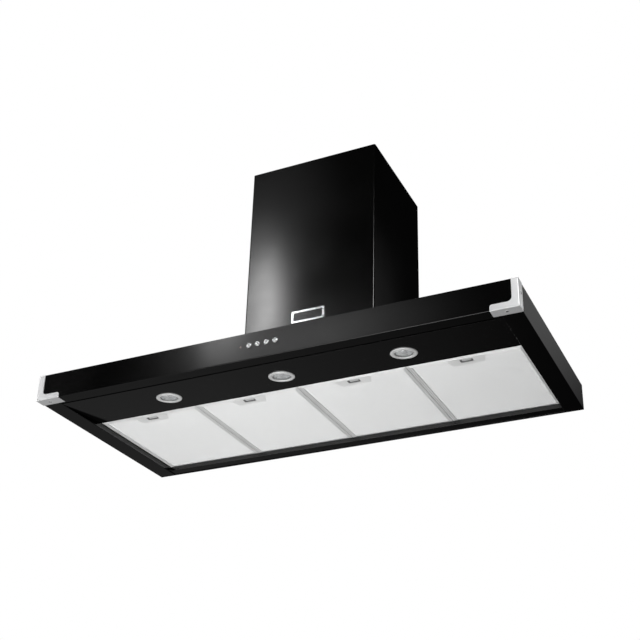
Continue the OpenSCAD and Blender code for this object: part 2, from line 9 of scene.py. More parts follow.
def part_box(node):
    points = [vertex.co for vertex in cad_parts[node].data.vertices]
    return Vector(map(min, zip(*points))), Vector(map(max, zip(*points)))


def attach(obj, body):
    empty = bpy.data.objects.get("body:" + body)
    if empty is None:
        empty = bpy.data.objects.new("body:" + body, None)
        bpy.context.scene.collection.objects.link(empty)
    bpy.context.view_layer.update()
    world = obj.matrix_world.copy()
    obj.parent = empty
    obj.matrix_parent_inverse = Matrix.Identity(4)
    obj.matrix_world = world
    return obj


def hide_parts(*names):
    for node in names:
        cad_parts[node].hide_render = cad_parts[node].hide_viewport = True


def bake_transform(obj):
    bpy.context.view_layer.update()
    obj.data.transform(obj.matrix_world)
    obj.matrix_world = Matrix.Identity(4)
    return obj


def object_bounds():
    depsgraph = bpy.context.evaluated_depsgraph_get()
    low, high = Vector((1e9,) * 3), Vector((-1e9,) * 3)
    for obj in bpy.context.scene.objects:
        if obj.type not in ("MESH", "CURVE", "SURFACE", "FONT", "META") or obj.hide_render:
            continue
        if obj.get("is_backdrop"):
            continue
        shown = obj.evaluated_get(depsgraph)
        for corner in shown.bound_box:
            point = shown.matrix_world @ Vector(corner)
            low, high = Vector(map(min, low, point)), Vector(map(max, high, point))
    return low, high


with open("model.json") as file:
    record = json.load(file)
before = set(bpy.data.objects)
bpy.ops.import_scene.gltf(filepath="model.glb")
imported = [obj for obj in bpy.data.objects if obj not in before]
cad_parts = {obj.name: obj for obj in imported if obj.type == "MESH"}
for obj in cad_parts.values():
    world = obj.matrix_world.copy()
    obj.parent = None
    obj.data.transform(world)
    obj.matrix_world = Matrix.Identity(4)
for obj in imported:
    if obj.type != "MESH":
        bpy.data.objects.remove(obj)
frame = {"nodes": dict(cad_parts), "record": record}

scene = bpy.context.scene
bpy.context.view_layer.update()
nodes = frame["nodes"]
bodyOf = {n: body for body, group in frame["record"]["behaviour"]["bodies"].items() for n in group}
slotOf = {part["node"]: part["material_slot"] for part in frame["record"]["subparts"]}
mm = 0.001
print("frame loaded:", len(nodes), "nodes")

# camera, looking up at the hood from the right
cameraSet = {
    "place": (1.0084, -2.2622, -1.0358),
    "yaw": 0.4172, "pitch": 0.4511, "roll": -0.0103,
    "lens": 63.51, "shift": (-0.0625, 0.1),
}


def addCamera(look):
    camera = bpy.data.objects.new("camera", bpy.data.cameras.new("camera"))
    scene.collection.objects.link(camera)
    turn = (Matrix.Rotation(look["yaw"], 4, "Z") @ Matrix.Rotation(look["pitch"], 4, "X")
            @ Matrix.Rotation(look["roll"], 4, "Y") @ Matrix.Rotation(math.pi / 2, 4, "X"))
    camera.matrix_world = Matrix.Translation(look["place"]) @ turn
    camera.data.sensor_width = 36
    camera.data.lens = look["lens"]
    camera.data.shift_x, camera.data.shift_y = look["shift"]
    camera.data.clip_start, camera.data.clip_end = 0.05, 60
    scene.camera = camera


addCamera(cameraSet)
print("camera set")


class Val:
    # a shader socket that can stand in sums
    def __init__(self, wiring, socket):
        self.wiring, self.socket = wiring, socket

    def sum(self, operation, *terms):
        return self.wiring.node("Math", {"operation": operation}, dict(enumerate(terms)))

    def __add__(self, other):
        return self.sum("ADD", self, other)

    def __radd__(self, other):
        return self.sum("ADD", other, self)

    def __sub__(self, other):
        return self.sum("SUBTRACT", self, other)

    def __rsub__(self, other):
        return self.sum("SUBTRACT", other, self)

    def __mul__(self, other):
        return self.sum("MULTIPLY", self, other)

    def __rmul__(self, other):
        return self.sum("MULTIPLY", other, self)

    def __pow__(self, other):
        return self.sum("POWER", self, other)

    def __abs__(self):
        return self.sum("ABSOLUTE", self)

    def fraction(self):
        return self.sum("FRACT", self)

    def least(self, other):
        return self.sum("MINIMUM", self, other)

    def output(self, name):
        return Val(self.wiring, self.socket.node.outputs[name])


class Wiring:
    # the node tree of a material, a light or the world
    def __init__(self, owner):
        owner.use_nodes = True
        self.owner, self.tree = owner, owner.node_tree
        self.tree.nodes.clear()

    def node(self, kind, settings=None, sockets=None, output=0):
        made = self.tree.nodes.new("ShaderNode" + kind)
        for key, setting in (settings or {}).items():
            if key == "stops":
                ramp = made.color_ramp.elements
                while len(ramp) < len(setting):
                    ramp.new(0.5)
                for stop, (position, colour) in zip(ramp, setting):
                    stop.position, stop.color = position, colour
            else:
                setattr(made, key, setting)
        for key, value in (sockets or {}).items():
            if isinstance(value, Val):
                self.tree.links.new(value.socket, made.inputs[key])
            else:
                made.inputs[key].default_value = value
        return None if output is None else Val(self, made.outputs[output])

    def place(self, stretch=(1, 1, 1)):
        point = self.node("TexCoord", output="Object")
        return self.node("Mapping", {}, {"Vector": point, "Scale": stretch})

    def grain(self, size, detail=2, stretch=(1, 1, 1), roughness=0.5):
        # size is one patch of the noise in millimetres
        return self.node("TexNoise", {}, {"Vector": self.place(stretch), "Scale": 1 / (size * mm),
                                          "Detail": detail, "Roughness": roughness})

    def ramp(self, value, low, high, soft="LINEAR"):
        # 0 below low, 1 above high
        return self.node("MapRange", {"interpolation_type": soft},
                         {0: value, 1: low, 2: high, 3: 0.0, 4: 1.0})

    def blend(self, mask, first, second):
        return self.node("Mix", {"data_type": "RGBA"}, {0: mask, 6: first, 7: second}, output=2)

    def upward(self):
        normal = self.node("NewGeometry", output="Normal")
        return self.node("SeparateXYZ", {}, {"Vector": normal}, output="Z")

    def bumped(self, height, depth, under=None):
        sockets = {"Height": height, "Distance": depth * mm, "Strength": 1.0}
        if under:
            sockets["Normal"] = under
        return self.node("Bump", {}, sockets)

    def shade(self, sockets, kind="BsdfPrincipled"):
        shader = self.node(kind, {}, sockets)
        end = "World" if isinstance(self.owner, bpy.types.World) else "Material"
        self.node("Output" + end, {}, {"Surface": shader}, output=None)
        return self.owner


def newWiring(name):
    return Wiring(bpy.data.materials.new(name))


def rgb(red, green=None, blue=None):
    return (red, red if green is None else green, red if blue is None else blue, 1.0)


# black stoved paint, with a faint orange peel and dust on what faces up
paintLook = {
    "colour": 0.0025, "gloss": 0.11, "smudge": 0.05, "peelSize": 2.2, "peelDepth": 0.002,
    "dust": 0.05, "dustColour": (0.11, 0.105, 0.1),
}


def blackPaint(look=paintLook):
    w = newWiring("black-gloss-paint")
    peel = w.grain(look["peelSize"], 1)
    smudge = w.grain(120, 4)
    fleck = w.grain(3, 3)
    dust = w.ramp(w.upward(), 0.6, 1.0) * w.ramp(w.grain(40, 5) + 0.35 * fleck, 0.45, 0.95) * look["dust"]
    colour = w.blend(dust, rgb(look["colour"]), rgb(*look["dustColour"]))
    rough = look["gloss"] + look["smudge"] * w.ramp(smudge, 0.4, 0.75) + 0.45 * dust
    return w.shade({"Base Color": colour, "Roughness": rough, "IOR": 1.5,
                    "Normal": w.bumped(peel, look["peelDepth"])})


# bright plate with polishing marks: nearly a mirror on the small parts, satin on the brackets
chromeLook = {
    "colour": (0.86, 0.865, 0.875), "gloss": 0.15, "haze": 0.06, "markDepth": 0.001, "metallic": 1.0,
}
satinLook = {
    "colour": (0.88, 0.885, 0.89), "gloss": 0.34, "haze": 0.05, "markDepth": 0.002, "metallic": 0.7,
}


def chromePlate(name="chrome-plate", look=chromeLook):
    w = newWiring(name)
    haze = w.grain(14, 4)
    marks = w.grain(0.9, 2, (0.06, 1, 1))
    rough = look["gloss"] + look["haze"] * w.ramp(haze, 0.35, 0.75)
    colour = w.blend(w.ramp(haze, 0.3, 0.8), rgb(*look["colour"]), rgb(*[0.93 * c for c in look["colour"]]))
    return w.shade({"Base Color": colour, "Metallic": look["metallic"], "Roughness": rough,
                    "Normal": w.bumped(marks, look["markDepth"])})


# fine grained metal, brushed along one axis
def brushedMetal(name, colour, gloss, spread, along=(0.03, 1, 1), depth=0.004, size=0.8, metallic=1.0):
    w = newWiring(name)
    strokes = w.grain(size, 3, along)
    cloud = w.grain(45, 3)
    tone = w.blend(w.ramp(strokes, 0.3, 0.7), rgb(*colour), rgb(*[0.88 * c for c in colour]))
    rough = gloss + spread * w.ramp(cloud, 0.3, 0.75) + 0.5 * spread * w.ramp(strokes, 0.35, 0.65)
    return w.shade({"Base Color": tone, "Metallic": metallic, "Roughness": rough,
                    "Normal": w.bumped(strokes, depth)})


# zinc coat: flat crystals, each with its own tone
zincLook = {"crystal": 9, "dark": (0.42, 0.44, 0.46), "light": (0.66, 0.68, 0.7)}


def zincSheet(look=zincLook):
    w = newWiring("galvanised-steel")
    edges = w.grain(3, 2) * 0.002
    place = w.node("VectorMath", {"operation": "ADD"}, {0: w.place(), 1: edges})
    crystal = w.node("TexVoronoi", {"feature": "F1"}, {"Vector": place, "Scale": 1 / (look["crystal"] * mm)},
                     output="Color")
    tone = w.node("SeparateColor", {}, {"Color": crystal})
    colour = w.blend(tone, rgb(*look["dark"]), rgb(*look["light"]))
    rough = 0.34 + 0.24 * tone.output("Green") + 0.08 * w.grain(30, 3)
    return w.shade({"Base Color": colour, "Metallic": 1.0, "Roughness": rough,
                    "Normal": w.bumped(w.grain(1.2, 3) + 0.4 * tone, 0.004)})


# expanded foil of the grease filters: rows of small slanted strands
meshLook = {
    "wide": 4.0, "deep": 2.0, "strand": 0.13, "colour": (0.9, 0.905, 0.9), "shadow": (0.6, 0.61, 0.61),
}


def filterFoil(look=meshLook):
    w = newWiring("filter-foil")
    place = w.node("SeparateXYZ", {}, {"Vector": w.node("TexCoord", output="Object")})
    across = place.output("X") * (1 / (look["wide"] * mm))
    along = place.output("Y") * (1 / (look["deep"] * mm))
    first = abs((across + along).fraction() - 0.5)
    second = abs((across - along).fraction() - 0.5)
    hole = w.ramp(first.least(second), look["strand"], 0.4, "SMOOTHSTEP")
    colour = w.blend(hole, rgb(*look["colour"]), rgb(*look["shadow"]))
    rough = 0.5 + 0.05 * w.ramp(w.grain(60, 3), 0.35, 0.7) + 0.12 * hole
    return w.shade({"Base Color": colour, "Metallic": 0.4, "Roughness": rough,
                    "Normal": w.bumped(1 - hole, 0.15)})


# moulded plastic with a fine spark-eroded grain
def mouldedPlastic(name, colour, gloss=0.42, grain=0.5, depth=0.012):
    w = newWiring(name)
    skin = w.grain(grain, 2)
    cloud = w.ramp(w.grain(25, 3), 0.3, 0.75)
    tone = w.blend(cloud, rgb(*colour), rgb(*[min(1, 1.25 * c + 0.002) for c in colour]))
    return w.shade({"Base Color": tone, "Roughness": gloss + 0.14 * cloud, "IOR": 1.48,
                    "Normal": w.bumped(skin, depth)})


# badge field: dark enamel under clear lacquer
def badgeEnamel():
    w = newWiring("badge-enamel")
    flake = w.ramp(w.grain(0.35, 1), 0.6, 0.75)
    colour = w.blend(flake, rgb(0.018, 0.018, 0.02), rgb(0.06, 0.06, 0.065))
    return w.shade({"Base Color": colour, "Roughness": 0.14 + 0.1 * w.grain(10, 3), "IOR": 1.5,
                    "Coat Weight": 0.8 + 0.15 * flake, "Normal": w.bumped(w.grain(5, 2), 0.002)})


# thin clear glass, which lets lamps and light straight through
def clearGlass(name, colour, gloss, body=0.1):
    w = newWiring(name)
    film = w.ramp(w.grain(7, 4), 0.35, 0.8)
    return w.shade({"Base Color": w.blend(film, rgb(*colour), rgb(*[0.9 * c for c in colour])),
                    "Roughness": gloss + 0.06 * film, "IOR": 1.46, "Alpha": body + 0.06 * film,
                    "Normal": w.bumped(w.grain(4, 2), 0.004)})


# mirror coat inside the lamps, with a slight tint of the coating
def mirrorCoat():
    w = newWiring("reflector-coat")
    tint = w.ramp(w.grain(5, 3), 0.3, 0.7)
    colour = w.blend(tint, rgb(0.93, 0.93, 0.92), rgb(0.86, 0.88, 0.9))
    return w.shade({"Base Color": colour, "Metallic": 1.0, "Roughness": 0.09 + 0.08 * tint,
                    "Normal": w.bumped(w.grain(0.6, 2), 0.003)})


# pressed and fired ceramic: matt with tiny pits, their shade painted into the colour
def firedCeramic():
    w = newWiring("lamp-ceramic")
    pits = w.ramp(w.grain(0.7, 2), 0.3, 0.45)
    # painted shade: the colour is darker wherever the bump is low, in the pits
    return w.shade({"Base Color": w.blend(pits, rgb(0.5, 0.48, 0.43), rgb(0.76, 0.75, 0.7)),
                    "Roughness": 0.7 + 0.1 * w.grain(8, 2), "Normal": w.bumped(pits, 0.03)})


# circuit board: solder mask over a weave, with paler tracks
boardLook = {"threads": 1800, "tracks": 240.0, "mask": (0.012, 0.1, 0.045), "copper": (0.03, 0.2, 0.09)}


def circuitBoard(look=boardLook):
    w = newWiring("board-green")
    place = w.node("SeparateXYZ", {}, {"Vector": w.node("TexCoord", output="Object")})
    across, along = place.output("X") * look["threads"], place.output("Z") * look["threads"]
    weave = abs(across.fraction() - 0.5) + abs(along.fraction() - 0.5)
    cell = w.node("TexVoronoi", {"feature": "F1", "distance": "CHEBYCHEV"},
                  {"Vector": w.place(), "Scale": look["tracks"]})
    track = w.ramp(abs(cell - 0.33), 0.06, 0.03)
    return w.shade({"Base Color": w.blend(track, rgb(*look["mask"]), rgb(*look["copper"])),
                    "Roughness": 0.3 + 0.1 * weave, "IOR": 1.5,
                    "Normal": w.bumped(track + 0.2 * weave, 0.02)})


finishes = {
    "black_gloss_paint": blackPaint(),
    "chrome": chromePlate(),
    "satin_chrome": chromePlate("satin-chrome", satinLook),
    "badge_black": badgeEnamel(),
    "galvanised_steel": zincSheet(),
    "satin_nickel": brushedMetal("satin-nickel", (0.76, 0.765, 0.76), 0.44, 0.1, (1, 1, 1), 0.003, 0.5, 0.6),
    "lamp_glass": clearGlass("lamp-glass", (0.96, 0.98, 0.98), 0.04),
    "reflector": mirrorCoat(),
    "bulb_glass": clearGlass("bulb-quartz", (0.97, 0.97, 0.96), 0.03),
    "ceramic": firedCeramic(),
    "filter_aluminium": brushedMetal("filter-aluminium", (0.86, 0.865, 0.86), 0.44, 0.08, (1, 0.03, 1), 0.005,
                                     metallic=0.6),
    "plate_aluminium": brushedMetal("plate-aluminium", (0.9, 0.905, 0.9), 0.42, 0.08, metallic=0.4),
    "filter_mesh": filterFoil(),
    "latch_plastic": mouldedPlastic("latch-plastic", (0.12, 0.12, 0.12), 0.45),
    "spring_steel": brushedMetal("spring-steel", (0.55, 0.55, 0.54), 0.3, 0.1, (1, 0.1, 1), 0.002),
    "indicator_red": mouldedPlastic("indicator-lens", (0.3, 0.25, 0.24), 0.12, 3, 0.002),
    "black_plastic": mouldedPlastic("black-plastic", (0.028, 0.028, 0.03)),
    "board_green": circuitBoard(),
    "capacitor_can": brushedMetal("capacitor-can", (0.72, 0.73, 0.74), 0.26, 0.1, (1, 1, 0.04), 0.003),
}
print("finishes mixed:", len(finishes))


# the last steps that every piece goes through
def makePiece(name, shape, finish, sharp=35, place=None, scale=mm):
    shape.transform(Matrix.Scale(scale, 4) @ (place or Matrix()))
    bmesh.ops.recalc_face_normals(shape, faces=shape.faces)
    mesh = bpy.data.meshes.new(name)
    shape.to_mesh(mesh)
    shape.free()
    mesh.materials.append(finishes[finish] if isinstance(finish, str) else finish)
    mesh.shade_smooth()
    if sharp:
        mesh.set_sharp_from_angle(angle=math.radians(sharp))
    piece = bpy.data.objects.new(name, mesh)
    scene.collection.objects.link(piece)
    return piece


def softEdges(piece, width, steps=2, angle=35):
    edge = piece.modifiers.new("edges", "BEVEL")
    edge.width, edge.segments = width * mm, steps
    edge.limit_method, edge.angle_limit = "ANGLE", math.radians(angle)
    even = piece.modifiers.new("normals", "WEIGHTED_NORMAL")
    even.mode, even.weight, even.keep_sharp = "FACE_AREA", 100, True
    return piece


def standFor(piece, node, *others):
    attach(piece, bodyOf[node])
    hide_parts(node, *others)
    return piece


def addOn(piece, node):
    # a small piece that sits on a CAD part
    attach(piece, bodyOf[node])
    return piece


# a CAD part's own shape, cleaned of its triangles; folds lists (test of an edge's middle, radius)
def refined(node, width=0.25, folds=(), steps=2, angle=35, finish=None):
    shape = bmesh.new()
    shape.from_mesh(nodes[node].data)
    bmesh.ops.remove_doubles(shape, verts=shape.verts, dist=2e-6)
    bmesh.ops.dissolve_limit(shape, angle_limit=math.radians(0.4), verts=shape.verts, edges=shape.edges)
    for test, radius in folds:
        found = []
        for edge in shape.edges:
            if len(edge.link_faces) == 2 and edge.calc_face_angle(0) > math.radians(angle):
                first, second = (v.co / mm for v in edge.verts)
                if test(first) and test(second):
                    found.append(edge)
        bmesh.ops.bevel(shape, geom=found, offset=radius * mm, segments=4, profile=0.5, affect="EDGES")
    piece = makePiece(node.replace("_", "-"), shape, finish or slotOf[node], sharp=0, scale=1)
    if width:
        softEdges(piece, width, steps, angle)
    return standFor(piece, node)


# spins (radius, height) points round Z
def turned(profile, steps=64, ring=False):
    shape = bmesh.new()
    loops = []
    for radius, height in profile:
        points = circlePoints(radius, steps if radius > 1e-6 else 1)  # one point where it meets the axis
        loops.append([shape.verts.new((x, y, height)) for x, y in points])
    pairs = list(zip(loops, loops[1:])) + ([(loops[-1], loops[0])] if ring else [])
    for low, high in pairs:
        for k in range(steps):
            corners = [low[k % len(low)], low[(k + 1) % steps % len(low)],
                       high[(k + 1) % steps % len(high)], high[k % len(high)]]
            corners = list(dict.fromkeys(corners))
            if len(corners) > 2:
                shape.faces.new(corners)
    return shape


# a flat outline stood up between two heights
def pressed(outline, low, high):
    shape = bmesh.new()
    below = [shape.verts.new((x, y, low)) for x, y in outline]
    above = [shape.verts.new((x, y, high)) for x, y in outline]
    shape.faces.new(below[::-1])
    shape.faces.new(above)
    for k in range(len(outline)):
        after = (k + 1) % len(outline)
        shape.faces.new((below[k], below[after], above[after], above[k]))
    return shape


def block(low, high):
    outline = [(low[0], low[1]), (high[0], low[1]), (high[0], high[1]), (low[0], high[1])]
    return pressed(outline, low[2], high[2])


def roundRect(width, depth, radius, steps=5, middle=(0, 0)):
    points = []
    for corner, (sx, sy) in enumerate([(1, 1), (-1, 1), (-1, -1), (1, -1)]):
        for k in range(steps + 1):
            turn = math.pi / 2 * (corner + k / steps)
            points.append((middle[0] + sx * (width / 2 - radius) + radius * math.cos(turn),
                           middle[1] + sy * (depth / 2 - radius) + radius * math.sin(turn)))
    return points


def circlePoints(radius, steps=24, middle=(0, 0)):
    turns = [math.tau * k / steps for k in range(steps)]
    return [(middle[0] + radius * math.cos(turn), middle[1] + radius * math.sin(turn)) for turn in turns]


# a round wire along points; closed joins its ends
def wire(points, radius, sides=8, closed=False):
    shape = bmesh.new()
    points = [Vector(p) for p in points]
    count = len(points)
    normal, loops = None, []
    for k, point in enumerate(points):
        before = points[k - 1] if k or closed else point
        after = points[(k + 1) % count] if k < count - 1 or closed else point
        ahead = (after - before).normalized()
        if normal is None:
            normal = ahead.orthogonal().normalized()
        normal = (normal - normal.dot(ahead) * ahead).normalized()
        side = ahead.cross(normal)
        loops.append([shape.verts.new(point + radius * (math.cos(math.tau * s / sides) * normal
                                                        + math.sin(math.tau * s / sides) * side))
                      for s in range(sides)])
    for low, high in list(zip(loops, loops[1:])) + ([(loops[-1], loops[0])] if closed else []):
        for s in range(sides):
            shape.faces.new((low[s], low[(s + 1) % sides], high[(s + 1) % sides], high[s]))
    if not closed:
        shape.faces.new(loops[0][::-1])
        shape.faces.new(loops[-1])
    return shape


# several shapes as one, each moved by its own matrix
def gathered(*shapes):
    whole = bmesh.new()
    for item in shapes:
        shape, place = item if isinstance(item, tuple) else (item, Matrix())
        shape.transform(place)
        part = bpy.data.meshes.new("part")
        shape.to_mesh(part)
        shape.free()
        whole.from_mesh(part)
        bpy.data.meshes.remove(part)
    return whole


def moved(x, y, z, turnX=0, turnY=0, turnZ=0):
    return (Matrix.Translation((x, y, z)) @ Matrix.Rotation(math.radians(turnZ), 4, "Z")
            @ Matrix.Rotation(math.radians(turnY), 4, "Y") @ Matrix.Rotation(math.radians(turnX), 4, "X"))


# canopy sheets: folded edges are rounder than cut ones
sheetEdges = {
    "fold": 1.1, "cut": 0.25, "hem": 0.9, "bracketFold": 0.9, "bracketCut": 0.22,
    "rim": 30, "frontReach": 2.6,  # how far back the rim reaches, and its front fold at most
    "near": 0.5, "exact": 0.01,
}
skirtLow, skirtHigh = (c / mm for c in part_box("skirt"))


def onSkirtFold(point):
    side = abs(point.x) > skirtHigh.x - sheetEdges["exact"]
    front = point.y < skirtLow.y + sheetEdges["frontReach"]
    return point.z < sheetEdges["exact"] and (side or front)


def onRimHem(point):
    # the inner edges of the rim and of the side flanges, which meet at the panel's front corners
    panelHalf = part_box("light_panel")[1].x / mm
    near, rimBack = sheetEdges["near"], skirtLow.y + sheetEdges["rim"]
    inner = abs(abs(point.x) - panelHalf) < near and point.y > rimBack - near
    back = abs(point.x) < panelHalf + near and abs(point.y - rimBack) < near
    return point.z < sheetEdges["exact"] and (inner or back)


def bracketFolds(side):
    # the folds to the bottom flange, and the one round the canopy's corner
    low, high = (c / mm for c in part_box("bracket_" + side))
    outer, exact = low.x if side == "left" else high.x, sheetEdges["exact"]

    def onFront(point):
        return point.y < low.y + exact

    def onSide(point):
        return abs(point.x - outer) < exact

    def onBottomFold(point):
        return point.z < low.z + exact and (onFront(point) or onSide(point))

    def onCornerFold(point):
        return onFront(point) and onSide(point)

    return [(onBottomFold, sheetEdges["bracketFold"]), (onCornerFold, sheetEdges["bracketFold"])]


refined("skirt", sheetEdges["cut"], [(onSkirtFold, sheetEdges["fold"]), (onRimHem, sheetEdges["hem"])])
refined("top_panel", sheetEdges["cut"])
refined("rear_panel", sheetEdges["cut"])
refined("light_panel", sheetEdges["cut"])
for side in ("left", "right"):
    refined("bracket_" + side, sheetEdges["bracketCut"], bracketFolds(side), finish="satin_chrome")
refined("screws", 0.12, angle=50)
print("canopy done")

# badge: bright rim round a plain dark field
refined("badge_frame", 0.55, steps=4)
refined("badge_plate", 0.2)

# chimney covers
refined("lower_cover", 0.2)
refined("upper_cover", 0.2)
refined("ceiling_bracket", 0.25)
print("chimney done")


# lamps: each is made about the middle of its bezel's face, with +Z into the canopy
lampSet = {
    "radius": 28,
    "bezel": [(19.2, 0.8), (19.2, -1.2), (19.4, -1.7), (19.8, -1.9), (20.2, -1.8), (20.5, -1.45),
              (20.9, -1.45), (21.2, -1.75), (21.8, -1.9), (26.4, -1.9), (27.3, -1.65), (27.8, -1.15),
              (28.0, -0.5), (28.0, 0.0), (24.2, 0.0), (24.2, 20.0), (23.2, 20.0), (23.2, 1.0), (19.5, 1.0)],
    "glass": [(0, -0.95), (6, -0.88), (11, -0.7), (15, -0.45), (17.6, -0.2), (18.05, 0.1), (18.1, 0.9),
              (17.6, 1.0), (0, 1.0)],
    "slope": 4.757, "glassProud": 0.3,
}
cupSet = {
    "facets": 18, "rows": 8, "curve": 0.55, "skin": 1,
    "neck": 6, "neckHeight": 22, "tubeHeight": 30, "mouth": 16.6, "mouthHeight": 1.1,
}
bulbSet = {
    "shell": [(0, 4.1), (1.2, 4.25), (2.5, 4.9), (3.5, 6.0), (3.95, 7.4), (4.0, 9), (4.0, 19), (3.6, 20.6),
              (2.9, 21.8), (2.9, 24), (0, 24)],
    "turns": 9, "steps": 12, "coilHalf": 2, "coilRadius": 0.75, "coilHeight": 13, "coilWire": 0.16,
    "leg": [(1.0, 13), (1.2, 16), (1.3, 22), (1.3, 33)], "legWire": 0.28,  # each leg: (spread, height)
}
bezelLow, bezelHigh = (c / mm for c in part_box("lamp_bezels"))
lampX = [bezelLow.x + lampSet["radius"], 0, bezelHigh.x - lampSet["radius"]]
glassLow, glassHigh = (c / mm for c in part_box("lamp_glasses"))


def lampPlaces():
    # the glass disc's middle gives the axis point of the bezel face
    slope = math.radians(lampSet["slope"])
    axis = Vector((0, -math.sin(slope), math.cos(slope)))
    middle = Vector((0, (glassLow.y + glassHigh.y) / 2, (glassLow.z + glassHigh.z) / 2))
    middle -= lampSet["glassProud"] * axis
    return [Matrix.Translation((x, middle.y, middle.z)) @ Matrix.Rotation(slope, 4, "X") for x in lampX]


def atLamps(make):
    return gathered(*[(make(), place) for place in lampPlaces()])


def cupPoint(k):
    # radius and height of the cup's k-th row, from the neck to the mouth
    along = k / cupSet["rows"]
    return (cupSet["neck"] + (cupSet["mouth"] - cupSet["neck"]) * along ** cupSet["curve"],
            cupSet["neckHeight"] - (cupSet["neckHeight"] - cupSet["mouthHeight"]) * along)


def facetedCup():
    # alternate rows are half a step round, so the facets are diamonds
    rows, facets, skin = cupSet["rows"], cupSet["facets"], cupSet["skin"]
    shape = bmesh.new()
    loops = []
    for k in range(rows + 1):
        radius, height = cupPoint(k)
        loops.append([shape.verts.new((radius * math.cos(math.tau * (s + k % 2 / 2) / facets),
                                       radius * math.sin(math.tau * (s + k % 2 / 2) / facets), height))
                      for s in range(facets)])
    for k, (low, high) in enumerate(zip(loops, loops[1:])):
        for s in range(facets):
            after = (s + 1) % facets
            if k % 2:
                shape.faces.new((low[s], high[s], high[after]))
                shape.faces.new((low[s], high[after], low[after]))
            else:
                shape.faces.new((low[s], high[s], low[after]))
                shape.faces.new((high[s], high[after], low[after]))
    outer = [(radius + skin, height) for radius, height in (cupPoint(k) for k in range(rows, -1, -1))]
    neck, tube = cupSet["neck"], cupSet["tubeHeight"]
    back = turned([(cupSet["mouth"] + 0.05, cupSet["mouthHeight"]), *outer, (neck + skin, tube), (neck, tube),
                   (neck, cupSet["neckHeight"])], 36)
    return gathered(shape, back)


def bulbCoil():
    turns, steps, radius = bulbSet["turns"], bulbSet["steps"], bulbSet["coilRadius"]
    half, height = bulbSet["coilHalf"], bulbSet["coilHeight"]
    coil = [(half * (2 * k / (turns * steps) - 1), radius * math.cos(math.tau * k / steps),
             height + radius * math.sin(math.tau * k / steps)) for k in range(turns * steps + 1)]
    legs = [wire([(side * half * spread, 0, z) for spread, z in bulbSet["leg"]], bulbSet["legWire"], 6)
            for side in (-1, 1)]
    return gathered(wire(coil, bulbSet["coilWire"], 5), *legs)


standFor(makePiece("lamp-bezels", atLamps(lambda: turned(lampSet["bezel"], 96, ring=True)), "satin_nickel"),
         "lamp_bezels")
standFor(makePiece("lamp-glasses", atLamps(lambda: turned(lampSet["glass"], 64)), "lamp_glass"),
         "lamp_glasses")
standFor(makePiece("lamp-reflectors", atLamps(facetedCup), "reflector", sharp=3), "lamp_reflectors")
standFor(makePiece("lamp-bulbs", atLamps(lambda: turned(bulbSet["shell"], 32)), "bulb_glass"), "lamp_bulbs")
addOn(makePiece("lamp-filaments", atLamps(bulbCoil), "spring_steel"), "lamp_bulbs")
refined("lamp_holders", 0.4)
print("lamps done")


# grease filters
filterSet = {
    "count": 4,
    # from the outer edge inwards: (inset, height), a folded strip with a bead and a turned-in hem
    "strip": [(0.0, 1.0), (0.3, 0.3), (1.0, 0.0), (3.6, 0.0), (4.3, 0.55), (6.6, 0.55), (7.3, 0.0),
              (8.7, 0.0), (9.3, 0.25), (9.5, 0.7), (9.3, 1.1), (8.7, 1.3), (1.5, 1.3), (1.0, 1.7)],
    "seam": 0.12,
    "foilPitch": (2.5, 2.0), "foilRise": 0.5, "foilZ": 1.45, "foilThick": 0.35, "foilInset": 1.6,
    "cutHalf": 32, "cutGap": 0.4,  # the foil is cut out round the latch plate
}


def mitredStrip(length, height):
    # one side of the frame along X, its outer face at y = 0 and its ends cut at 45 degrees
    below = filterSet["strip"]
    above = [(inset, height - z) for inset, z in reversed(below)]
    section = below + above
    shape = bmesh.new()
    ends = []
    for side in (-1, 1):
        ends.append([shape.verts.new((side * (length / 2 - inset - filterSet["seam"]), inset, z))
                     for inset, z in section])
    count = len(section)
    for k in range(count):
        after = (k + 1) % count
        shape.faces.new((ends[0][k], ends[0][after], ends[1][after], ends[1][k]))
    for end in ends:
        shape.faces.new(end)
    return shape


def filterFrame(width, depth, height):
    return gathered(
        mitredStrip(width, height),
        (mitredStrip(width, height), moved(0, depth, 0, turnZ=180)),
        (mitredStrip(depth, height), moved(-width / 2, depth / 2, 0, turnZ=-90)),
        (mitredStrip(depth, height), moved(width / 2, depth / 2, 0, turnZ=90)))


def foilSheet(low, high, cut, z, rise):
    # an embossed foil: neighbouring points are up and down in turn
    stepX, stepY = filterSet["foilPitch"]
    countX, countY = round((high[0] - low[0]) / stepX), round((high[1] - low[1]) / stepY)
    shape = bmesh.new()
    points = {}

    def pointAt(i, j):
        if (i, j) not in points:
            x, y = low[0] + (high[0] - low[0]) * i / countX, low[1] + (high[1] - low[1]) * j / countY
            level = 0 if (i + j) % 2 else rise
            points[i, j] = shape.verts.new((x, y, z + level))
        return points[i, j]

    for i in range(countX):
        for j in range(countY):
            x = low[0] + (high[0] - low[0]) * (i + 0.5) / countX
            y = low[1] + (high[1] - low[1]) * (j + 0.5) / countY
            if cut[0][0] < x < cut[1][0] and cut[0][1] < y < cut[1][1]:
                continue
            corners = [pointAt(i, j), pointAt(i + 1, j), pointAt(i + 1, j + 1), pointAt(i, j + 1)]
            if (i + j) % 2:
                shape.faces.new((corners[0], corners[1], corners[3]))
                shape.faces.new((corners[1], corners[2], corners[3]))
            else:
                shape.faces.new((corners[0], corners[1], corners[2]))
                shape.faces.new((corners[0], corners[2], corners[3]))
    return shape


latchSet = {
    "ribs": 3, "ribWide": 20, "ribDeep": 1.3, "ribStep": 2.9, "ribFrom": 0.5, "ribTo": 3.1, "ribsBack": 6.25,
    "turns": 6, "endTurns": 0.75, "wire": 0.35, "steps": 16,
}


